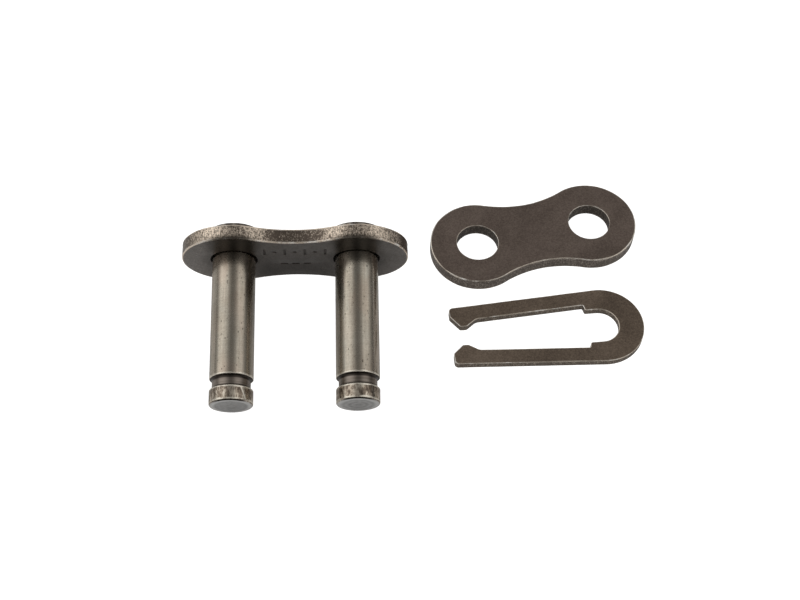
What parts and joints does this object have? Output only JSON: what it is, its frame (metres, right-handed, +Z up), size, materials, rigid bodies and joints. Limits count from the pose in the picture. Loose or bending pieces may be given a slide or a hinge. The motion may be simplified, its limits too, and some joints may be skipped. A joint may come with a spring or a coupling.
{
  "type": "roller chain connecting link",
  "caption": "Spring-clip connecting link for a motorcycle drive chain, laid out as a kit: pin link with grooved pins, loose waisted plate with bores, and U-shaped spring clip.",
  "frame": {"origin": "middle of the laid-out kit's footprint, on the bench plane z = 0", "axes": "+X along the row of pieces, from the pin link to the clip's closed bow; +Y away from the pin tips; +Z up off the bench"},
  "size_m": [0.0486, 0.0306, 0.0108],
  "materials": {
    "pin_plate_steel": "heat-treated dark oxide with a fine grain, worn bright along the stamped edges",
    "pin_steel": "centreless-ground satin steel with fine pits",
    "plate_steel": "dark brown-grey oxide, fine mottled grain, bright worn rim",
    "clip_steel": "dark brown oxide spring steel, fine mottled grain"
  },
  "bodies": {
    "pin_link": {"pin_plate": "pin_plate_steel", "pin_left": "pin_steel", "pin_right": "pin_steel"},
    "connecting_plate": {"connecting_plate": "plate_steel"},
    "spring_clip": {"spring_clip": "clip_steel"}
  },
  "joints": [
    {"name": "connecting_plate_slide", "type": "slide", "parent": "pin_link", "child": "connecting_plate", "axis": [0, 0, 1], "range_m": [0, 0.0046]},
    {"name": "spring_clip_slide", "type": "slide", "parent": "pin_link", "child": "spring_clip", "axis": [0.9907, 0.1357, 0], "range_m": [0, 0.0175]}
  ]
}
